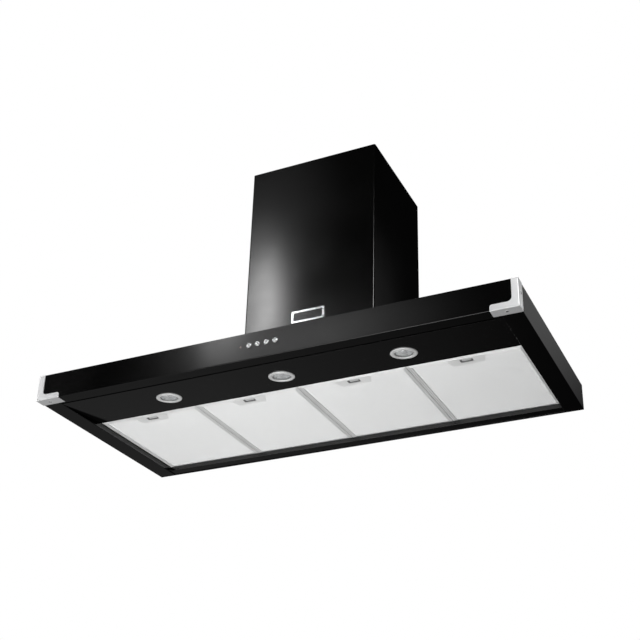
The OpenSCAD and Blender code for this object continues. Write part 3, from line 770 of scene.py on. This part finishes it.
def latchGrip(i):
    # ribs across the slider's finger recess
    low, high = (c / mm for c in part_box(f"latch_slider_{i}"))
    ribs = []
    for k in range(latchSet["ribs"]):
        y = high.y - latchSet["ribsBack"] + (k - (latchSet["ribs"] - 1) / 2) * latchSet["ribStep"]
        outline = roundRect(latchSet["ribWide"], latchSet["ribDeep"], 0.6, 3, ((low.x + high.x) / 2, y))
        ribs.append(pressed(outline, low.z + latchSet["ribFrom"], low.z + latchSet["ribTo"]))
    return gathered(*ribs)


def latchSpring(i):
    # a coil spring along Y whose end turns lie flat against their seats
    low, high = (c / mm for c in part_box(f"latch_spring_{i}"))
    middle, radius = (low + high) / 2, (high.x - low.x) / 2 - latchSet["wire"]
    length, turns, flat = high.y - low.y - 2 * latchSet["wire"], latchSet["turns"], latchSet["endTurns"]
    points = []
    for k in range(turns * latchSet["steps"] + 1):
        turn = k / latchSet["steps"]
        travel = min(max((turn - flat) / (turns - 2 * flat), 0), 1)
        points.append((middle.x + radius * math.cos(math.tau * turn),
                       low.y + latchSet["wire"] + length * travel,
                       middle.z + radius * math.sin(math.tau * turn)))
    return wire(points, latchSet["wire"], 7)


def filterFoils(width, depth, height, plateBack):
    # two foils, one inside each face of the frame
    inset, half = filterSet["foilInset"], filterSet["cutHalf"]
    lowCorner, highCorner = (inset - width / 2, inset), (width / 2 - inset, depth - inset)
    cut = ((-half, -1), (half, plateBack + filterSet["cutGap"]))
    low, rise = filterSet["foilZ"], filterSet["foilRise"]
    return gathered(foilSheet(lowCorner, highCorner, cut, low, rise),
                    foilSheet(lowCorner, highCorner, cut, height - low - rise, rise))


for i in range(1, filterSet["count"] + 1):
    low, high = (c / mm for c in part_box(f"filter_frame_{i}"))
    width, depth, height = high - low
    place = moved((low.x + high.x) / 2, low.y, low.z)
    frameShape = filterFrame(width, depth, height)
    standFor(makePiece(f"filter-frame-{i}", frameShape, "filter_aluminium", place=place), f"filter_frame_{i}")

    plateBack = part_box(f"latch_plate_{i}")[1].y / mm - low.y
    foils = filterFoils(width, depth, height, plateBack)
    foil = makePiece(f"filter-foil-{i}", foils, "filter_mesh", sharp=1, place=place)
    thick = foil.modifiers.new("sheet", "SOLIDIFY")
    thick.thickness, thick.offset = filterSet["foilThick"] * mm, 0
    standFor(foil, f"filter_mesh_{i}")

    refined(f"latch_plate_{i}", 0.2, finish="plate_aluminium")
    refined(f"latch_slider_{i}", 0.3)
    addOn(makePiece(f"latch-grip-{i}", latchGrip(i), "plate_aluminium"), f"latch_slider_{i}")
    spring = makePiece(f"latch-spring-{i}", latchSpring(i), "spring_steel")
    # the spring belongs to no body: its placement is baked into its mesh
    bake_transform(spring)
    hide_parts(f"latch_spring_{i}")
print("filters done")


# push buttons, drawn outwards along +Z and turned to face the front; then the indicator and the controls
# rebuilt from their CAD parts
buttonSet = {
    "count": 4, "steps": 48, "stem": 3, "collar": 7, "collarDepth": 5.0, "collarThick": 1.0, "cap": 5.5,
    "face": [(5.5, -1.0), (5.42, -0.6), (5.2, -0.28), (4.85, -0.07), (4.4, 0.0), (3.3, 0.0), (3.05, -0.12),
             (2.8, 0.0), (2.1, 0.0), (1.75, -0.2), (1.2, -0.38), (0.6, -0.45), (0, -0.47)],
}
for i in range(1, buttonSet["count"] + 1):
    low, high = (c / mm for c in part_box(f"button_{i}"))
    top = high.y - low.y
    collarLow = top - buttonSet["collarDepth"]
    collarTop = collarLow + buttonSet["collarThick"]
    stem = [(0, 0), (buttonSet["stem"], 0), (buttonSet["stem"], collarLow), (buttonSet["collar"], collarLow),
            (buttonSet["collar"], collarTop), (buttonSet["cap"], collarTop)]
    shape = turned(stem + [(r, top + z) for r, z in buttonSet["face"]], buttonSet["steps"])
    place = moved((low.x + high.x) / 2, high.y, (low.z + high.z) / 2, turnX=90)
    standFor(makePiece(f"button-{i}", shape, "chrome", place=place), f"button_{i}")
refined("indicator_lens", 0)
refined("control_housing", 0.5)
refined("switch_board", 0.15)
print("controls done")

# blower: the wheel and the motor are drawn along +Z and turned to face along X
fanSet = {
    "blades": 32, "lean": 35, "bow": 1.3, "thick": 1.2, "bladeSteps": 6, "ringWide": 12, "ringThick": 3,
    "rivets": 6, "rivetCircle": 20,
    "ring": [(66, -1.2), (66.3, -1.5), (77.2, -1.5), (78, -0.8), (78, 0.8), (77.2, 1.5), (66.3, 1.5),
             (66, 1.2)],
    "disc": [(11.5, -1), (28, -1), (30, -1.9), (58, -1.9), (60, -1), (77.9, -1), (77.9, 1), (60.6, 1),
             (58.6, 0.1), (29.4, 0.1), (27.4, 1), (11.5, 1)],
    "hub": [(4, -14), (11.2, -14), (12, -13.2), (12, 13.2), (11.2, 14), (4, 14)],
    "rivet": [(0, 2.6), (1.2, 2.4), (2.2, 1.8), (2.6, 0.9), (2.6, -1.5), (0, -1.5)],
}


def fanBlade(radius, length):
    wide, lean, steps = fanSet["ringWide"], math.radians(fanSet["lean"]), fanSet["bladeSteps"]
    outline = []
    for side, run in ((-0.5, range(steps + 1)), (0.5, range(steps, -1, -1))):
        for k in run:
            along = k / steps - 0.5
            off = fanSet["bow"] * (0.5 - 4 * along * along) + side * fanSet["thick"]
            outline.append((radius - wide / 2 + wide * along * math.cos(lean) - off * math.sin(lean),
                            wide * along * math.sin(lean) + off * math.cos(lean)))
    return pressed(outline, -length / 2, length / 2)


def fanWheel(radius, length):
    thick = fanSet["ringThick"]
    rings = [(turned(fanSet["ring"], 96, ring=True), moved(0, 0, side * (length - thick) / 2))
             for side in (-1, 1)]
    blades = [(fanBlade(radius, length - thick), moved(0, 0, 0, turnZ=360 * k / fanSet["blades"]))
              for k in range(fanSet["blades"])]
    rivets = [(turned(fanSet["rivet"], 16), moved(x, y, 0))
              for x, y in circlePoints(fanSet["rivetCircle"], fanSet["rivets"])]
    return gathered(turned(fanSet["disc"], 96, ring=True), turned(fanSet["hub"], 48, ring=True),
                    *rings, *blades, *rivets)


motorSet = {
    # (radius, height): the closed end, then the shaft end with its boss and bore
    "rearBell": [(0, 0), (14, 0), (16, 0.7), (30, 1.1), (37, 2.3), (40.3, 4.8), (41.2, 7.5)],
    "frontBell": [(41.2, 34.5), (40.3, 37.4), (37, 39.7), (30, 40.9), (16, 41.4), (14, 42.2), (14, 49.3),
                  (13.3, 50), (4.05, 50), (4.05, 40), (0, 40)],
    "plates": 12, "plateStep": 1.2, "plateStart": 14, "plate": [(41.3, 0), (42, 0.2), (42, 0.9), (41.3, 1.1)],
    "ribs": 24, "rib": ((19, -0.9, 40), (31, 0.9, 42)),
    "bolts": 4, "boltCircle": 33, "bolt": 3.2, "boltHeight": (39, 43),
}


def motorBody():
    # pressed end bells round a stack of laminations, with cooling ribs between the bolts on the shaft side
    plates = [(radius, motorSet["plateStart"] + motorSet["plateStep"] * k + height)
              for k in range(motorSet["plates"]) for radius, height in motorSet["plate"]]
    step = 360 / motorSet["ribs"]
    ribs = [(block(*motorSet["rib"]), moved(0, 0, 0, turnZ=step * k))
            for k in range(motorSet["ribs"]) if k % (motorSet["ribs"] // motorSet["bolts"])]
    bolts = [pressed(circlePoints(motorSet["bolt"], 6, centre), *motorSet["boltHeight"])
             for centre in circlePoints(motorSet["boltCircle"], motorSet["bolts"])]
    return gathered(turned([*motorSet["rearBell"], *plates, *motorSet["frontBell"]], 72), *ribs, *bolts)


for node in ("base_plate", "mounting_plate", "scroll_housing", "motor_bracket", "duct_collar", "front_flap",
             "rear_flap", "junction_box"):
    refined(node, 0.4)
for node in ("motor_shaft", "flap_pin"):
    refined(node, 0.3, angle=50)
low, high = (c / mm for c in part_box("impeller"))
axle = (low + high) / 2
standFor(makePiece("impeller", fanWheel((high.y - low.y) / 2, high.x - low.x), slotOf["impeller"],
                   place=moved(axle.x, axle.y, axle.z, turnY=90)), "impeller")
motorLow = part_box("motor")[0] / mm
standFor(makePiece("motor", motorBody(), slotOf["motor"],
                   place=moved(motorLow.x, axle.y, axle.z, turnY=90)), "motor")

# scroll casing: a clipped seam round its middle and a rolled lip at each inlet
scrollSet = {
    "tongue": 60, "start": 84, "end": 118,  # the spiral's radius grows from start to end over one turn
    "seam": 1.3, "seamFrom": 70, "seamStep": 5, "outletDrop": 4,
    "clips": 7, "clipFrom": 80, "clipStep": 38, "clip": ((-7, -4, -1.2), (7, 4, 1.2)), "clipOut": 0.6,
    "lip": 62.6, "lipWire": 1.2, "lipSide": 66,
}
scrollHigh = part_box("scroll_housing")[1] / mm


def scrollPoint(degrees, out=0.0):
    along = (degrees - scrollSet["tongue"]) / (360 - scrollSet["tongue"])
    radius = scrollSet["start"] + (scrollSet["end"] - scrollSet["start"]) * along + out
    turn = math.radians(degrees)
    return (0, axle.y + radius * math.cos(turn), axle.z + radius * math.sin(turn))


def scrollTrim():
    path = [scrollPoint(degrees) for degrees in range(scrollSet["seamFrom"], 361, scrollSet["seamStep"])]
    path.append((0, axle.y + scrollSet["end"], scrollHigh.z - scrollSet["outletDrop"]))
    shapes = [wire(path, scrollSet["seam"], 6)]
    for k in range(scrollSet["clips"]):
        degrees = scrollSet["clipFrom"] + scrollSet["clipStep"] * k
        place = moved(*scrollPoint(degrees, scrollSet["clipOut"]), turnX=degrees - 90)
        shapes.append((block(*scrollSet["clip"]), place))
    for side in (-1, 1):
        lip = [(side * scrollSet["lipSide"], y, z)
               for y, z in circlePoints(scrollSet["lip"], 72, (axle.y, axle.z))]
        shapes.append(wire(lip, scrollSet["lipWire"], 8, closed=True))
    return gathered(*shapes)


addOn(softEdges(makePiece("scroll-trim", scrollTrim(), slotOf["scroll_housing"]), 0.3), "scroll_housing")

# duct collar: two beads and a rolled edge on the spigot, and screws in the plenum's flange
collarSet = {
    "rings": [(18, 74.6), (36, 74.6), (1.1, 74.0)], "bead": 1.0,  # (distance below the top, radius)
    "screwAt": (71, 72), "screwDown": 55,
    "screw": [(0, 1.4), (1.4, 1.3), (2.6, 0.8), (3, 0), (3, -1.5), (0, -1.5)],
}


def collarTrim():
    low, high = (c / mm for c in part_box("duct_collar"))
    middle = (low + high) / 2
    shapes = []
    for down, radius in collarSet["rings"]:
        ring = [(x, y, high.z - down) for x, y in circlePoints(radius, 96, (middle.x, middle.y))]
        shapes.append(wire(ring, collarSet["bead"], 8, closed=True))
    sideways, forward = collarSet["screwAt"]
    screwZ = high.z - collarSet["screwDown"]
    for sx in (-1, 1):
        for sy in (-1, 1):
            place = moved(middle.x + sx * sideways, middle.y + sy * forward, screwZ)
            shapes.append((turned(collarSet["screw"], 20), place))
    return gathered(*shapes)


addOn(makePiece("collar-trim", collarTrim(), slotOf["duct_collar"]), "duct_collar")

# electrics
glandSet = {
    "thread": [(4, -8), (6.7, -8), (7, -7.5), (6.6, -7), (7, -6.5), (6.6, -6), (7, -5.5), (6.6, -5),
               (7, -4.5), (7, 1), (4, 1)],
    "nut": [(4, 0), (10.4, 0), (11, 0.5), (11, 4.5), (10.4, 5), (4, 5)],
    "dome": [(4, 5), (8.1, 5), (8.1, 10.2), (7.7, 11.8), (6.6, 13.2), (5.4, 14), (4.4, 14), (4, 13.4)],
    "ribs": 12, "rib": ((7.6, -0.6, 5.6), (8.5, 0.6, 10.4)),
}


def cableGland():
    ribs = [(block(*glandSet["rib"]), moved(0, 0, 0, turnZ=360 * k / glandSet["ribs"]))
            for k in range(glandSet["ribs"])]
    return gathered(turned(glandSet["thread"], 40, ring=True), turned(glandSet["nut"], 6, ring=True),
                    turned(glandSet["dome"], 40, ring=True), *ribs)


canSet = {
    # (radius, height): the base, the wall with a rolled groove under its lid, and the lid's rim
    "profile": [(0, 0), (16.4, 0), (17.5, 0.5), (18, 1.7), (18, 51.5), (17.4, 52.4), (17.2, 53.2),
                (17.8, 54.2), (18, 55.6), (17.5, 57.2), (16.6, 58), (15.8, 57.4), (15.4, 55.8), (6, 55.4),
                (5.2, 56.4), (0, 56.4)],
    "tabX": 5, "tab": (4, 0.8), "tabHeight": (55, 65), "foot": (5.4, 2.4, 0.8), "footHeight": (55, 58.4),
}


def capacitorCan():
    wide, thick = canSet["tab"]
    shapes = [turned(canSet["profile"], 64)]
    for x in (-canSet["tabX"], canSet["tabX"]):
        low, high = canSet["tabHeight"]
        shapes.append(block((x - wide / 2, -thick / 2, low), (x + wide / 2, thick / 2, high)))
        shapes.append(pressed(roundRect(*canSet["foot"], 3, (x, 0)), *canSet["footHeight"]))
    return gathered(*shapes)


transformerSet = {
    "plates": 15, "plateStep": 1.45, "plateThick": 1.1, "coilLong": 27, "plateBack": 0.4,
    "foot": 4, "footInset": 3, "formerInset": 6, "flange": (12, 15), "coilInset": (8, 14), "coilBase": 2.2,
    "lugs": 4, "lugStep": 7, "lug": ((11, 8.4, 6), (14, 12, 6.8)),
}


def transformerCore(low, high):
    # laminations round the coil, and the mounting plate above
    front, back = low.y + transformerSet["coilLong"], high.y - transformerSet["coilLong"]
    gap, inset = transformerSet["plateBack"], transformerSet["footInset"]
    top = high.z - transformerSet["foot"]
    core = [block((low.x + gap, front + gap, low.z + gap), (high.x - gap, back - gap, top))]
    for k in range(transformerSet["plates"]):
        z = low.z + transformerSet["plateStep"] * k
        core.append(block((low.x, front, z), (high.x, back, z + transformerSet["plateThick"])))
    return gathered(*core, block((low.x + inset, low.y, top), (high.x - inset, high.y, high.z)))


def transformerCoil(low, high):
    # a flange at both ends of the coil, and solder lugs on the front one
    left, right = low.x + transformerSet["formerInset"], high.x - transformerSet["formerInset"]
    near, far = transformerSet["flange"]
    insetX, insetY = transformerSet["coilInset"]
    top, middle = high.z - transformerSet["foot"], (low + high) / 2
    outline = roundRect(high.x - low.x - 2 * insetX, high.y - low.y - 2 * insetY, 5, 5, (middle.x, middle.y))
    lugLow, lugHigh = (Vector(corner) for corner in transformerSet["lug"])
    steps = [Vector((transformerSet["lugStep"] * k, 0, 0)) for k in range(transformerSet["lugs"])]
    return gathered(block((left, low.y + near, low.z + 1), (right, low.y + far, top)),
                    block((left, high.y - far, low.z + 1), (right, high.y - near, top)),
                    pressed(outline, low.z + transformerSet["coilBase"], top),
                    *[block(low + step + lugLow, low + step + lugHigh) for step in steps])


glandLow, glandHigh = (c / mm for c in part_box("cable_gland"))
middle = (glandLow + glandHigh) / 2
standFor(makePiece("cable-gland", cableGland(), slotOf["cable_gland"],
                   place=moved(middle.x, middle.y, glandHigh.z - glandSet["dome"][-2][1])), "cable_gland")
canLow, canHigh = (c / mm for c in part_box("capacitor"))
middle = (canLow + canHigh) / 2
standFor(makePiece("capacitor", capacitorCan(), "capacitor_can", place=moved(middle.x, middle.y, canLow.z)),
         "capacitor")
low, high = (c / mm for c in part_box("transformer"))
core = makePiece("transformer", transformerCore(low, high), "galvanised_steel")
standFor(softEdges(core, 0.2), "transformer")
coil = makePiece("transformer-coil", transformerCoil(low, high), "black_plastic")
addOn(softEdges(coil, 0.4), "transformer")

# lid on the front of the junction box, with a screw in each corner
lidSet = {
    "gap": 1.5, "corner": 3, "depth": (-0.2, 1.2), "screwInset": 6,
    "screw": [(0, 2.3), (1.2, 2.2), (2.1, 1.8), (2.4, 1.1), (2.4, 0.5), (0, 0.5)],
}
boxLow, boxHigh = (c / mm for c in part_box("junction_box"))


def boxLid(width, height):
    gap, inset = lidSet["gap"], lidSet["screwInset"]
    outline = roundRect(width - 2 * gap, height - 2 * gap, lidSet["corner"], 4)
    screws = [(turned(lidSet["screw"], 20), moved(sx * (width / 2 - inset), sy * (height / 2 - inset), 0))
              for sx in (-1, 1) for sy in (-1, 1)]
    return gathered(pressed(outline, *lidSet["depth"]), *screws)


middle, size = (boxLow + boxHigh) / 2, boxHigh - boxLow
place = moved(middle.x, boxLow.y, middle.z, turnX=90)
lid = makePiece("junction-lid", boxLid(size.x, size.z), "black_plastic", place=place)
addOn(softEdges(lid, 0.3, angle=50), "junction_box")
print("blower done")


# floor, backdrop and lights
floorSet = {"height": -1.95, "half": 14, "colour": 0.8, "glow": 0.9}


def addFloor(look):
    shape = bmesh.new()
    bmesh.ops.create_grid(shape, x_segments=2, y_segments=2, size=look["half"] / mm)
    w = newWiring("studio-floor")
    colour = w.blend(w.grain(900, 3), rgb(look["colour"]), rgb(0.97 * look["colour"]))
    w.shade({"Base Color": colour, "Roughness": 0.85 + 0.05 * w.grain(300, 2), "Emission Color": colour,
             "Emission Strength": look["glow"]})
    floor = makePiece("floor", shape, w.owner, place=moved(0, 0, look["height"] / mm))
    floor.visible_glossy = floor.visible_diffuse = False
    floor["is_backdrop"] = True


addFloor(floorSet)

# the camera sees white behind the hood; reflections see a dim studio: bright low in front of the hood,
# dark above, and behind it a low glow that fades towards the right
worldSet = {"backdrop": 1.0, "front": 0.45, "back": 0.09, "above": 0.004}


def setWorld(look):
    scene.world = bpy.data.worlds.new("studio")
    w = Wiring(scene.world)
    ray = w.node("LightPath", output="Is Camera Ray")
    ahead = w.node("SeparateXYZ", {}, {"Vector": w.node("TexCoord", output="Generated")})
    glow = w.ramp(ahead.output("X"), -0.2, -0.48)
    back = w.blend(glow, rgb(look["above"]), rgb(look["back"]))
    low = w.blend(w.ramp(ahead.output("Y"), -0.15, 0.3), rgb(look["front"]), back)
    dim = w.blend(w.ramp(ahead.output("Z"), -0.2, 0.15), low, rgb(look["above"]))
    seen = w.blend(ray, dim, rgb(look["backdrop"]))
    w.shade({"Color": seen, "Strength": 1.0}, "Background")


# each light: where it is, where it aims, its size in metres, its power, and how fast it fades to its rim
lightSet = {
    "glow-front": {
        "at": (-1.25, -3.05, 1.55), "to": (-1.25, 0, 1.55), "size": (2.2, 0.8), "power": 8.6, "fade": 1.5,
    },
    "strip-front": {
        "at": (-1.66, -3.0, 2.0), "to": (-1.66, 0, 2.0), "size": (0.42, 1.6), "power": 36, "fade": 1.8,
    },
    "glow-high": {
        "at": (-1.72, -3.1, 2.7), "to": (-1.72, 0, 2.7), "size": (1.1, 1.6), "power": 2, "fade": 1,
    },
    "softbox-left": {
        "at": (-3.75, -3.0, 1.7), "to": (-0.5, -0.5, 0.0), "size": (1.0, 1.6), "power": 55, "fade": 0.6,
    },
    "softbox-right": {
        "at": (0.95, -2.9, 1.5), "to": (0.5, -0.5, 0.0), "size": (1.2, 1.4), "power": 125, "fade": 0.6,
    },
    "light-below": {
        "at": (-0.25, -0.3, -1.7), "to": (-0.05, -0.15, 0.0), "size": (2.2, 1.0), "power": 29, "fade": 0,
    },
    "glow-side": {
        "at": (0.82, 0.6, 0.68), "to": (0.82, 0, 0.68), "size": (0.8, 1.2), "power": 0.65, "fade": 0.8,
    },
    "kicker-right": {
        "at": (1.8, 1.6, 1.1), "to": (0.54, -0.49, 0.03), "size": (0.5, 0.5), "power": 9, "fade": 0.5,
    },
    "light-above": {
        "at": (0.0, 0.4, 3.0), "to": (0.0, -0.1, 0.0), "size": (2.6, 1.6), "power": 35, "fade": 0,
    },
    "light-back": {
        "at": (-1.6, 2.8, 1.4), "to": (0.0, 0.0, 0.3), "size": (1.4, 1.4), "power": 16, "fade": 1,
    },
}


def addLight(name, look):
    lamp = bpy.data.lights.new(name, "AREA")
    lamp.shape = "RECTANGLE"
    lamp.size, lamp.size_y = look["size"]
    lamp.energy = look["power"]
    if look["fade"]:
        w = Wiring(lamp)
        across = w.node("NewGeometry", output="Parametric")
        centred = w.node("VectorMath", {"operation": "SUBTRACT"}, {0: across, 1: (0.5, 0.5, 0.0)})
        off = w.node("VectorMath", {"operation": "LENGTH"}, {0: centred}, output="Value")
        bright = w.ramp(off, 0.5, 0.0, "SMOOTHSTEP") ** look["fade"]
        glow = w.node("Emission", {}, {"Color": rgb(1.0), "Strength": bright})
        w.node("OutputLight", {}, {"Surface": glow}, output=None)
    light = bpy.data.objects.new(name, lamp)
    scene.collection.objects.link(light)
    light.location = look["at"]
    light.rotation_euler = (Vector(look["to"]) - Vector(look["at"])).to_track_quat("-Z", "Y").to_euler()
    light.visible_camera = False


setWorld(worldSet)
for name, look in lightSet.items():
    addLight(name, look)
scene.view_settings.view_transform = "Standard"
print("studio set")

low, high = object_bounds()
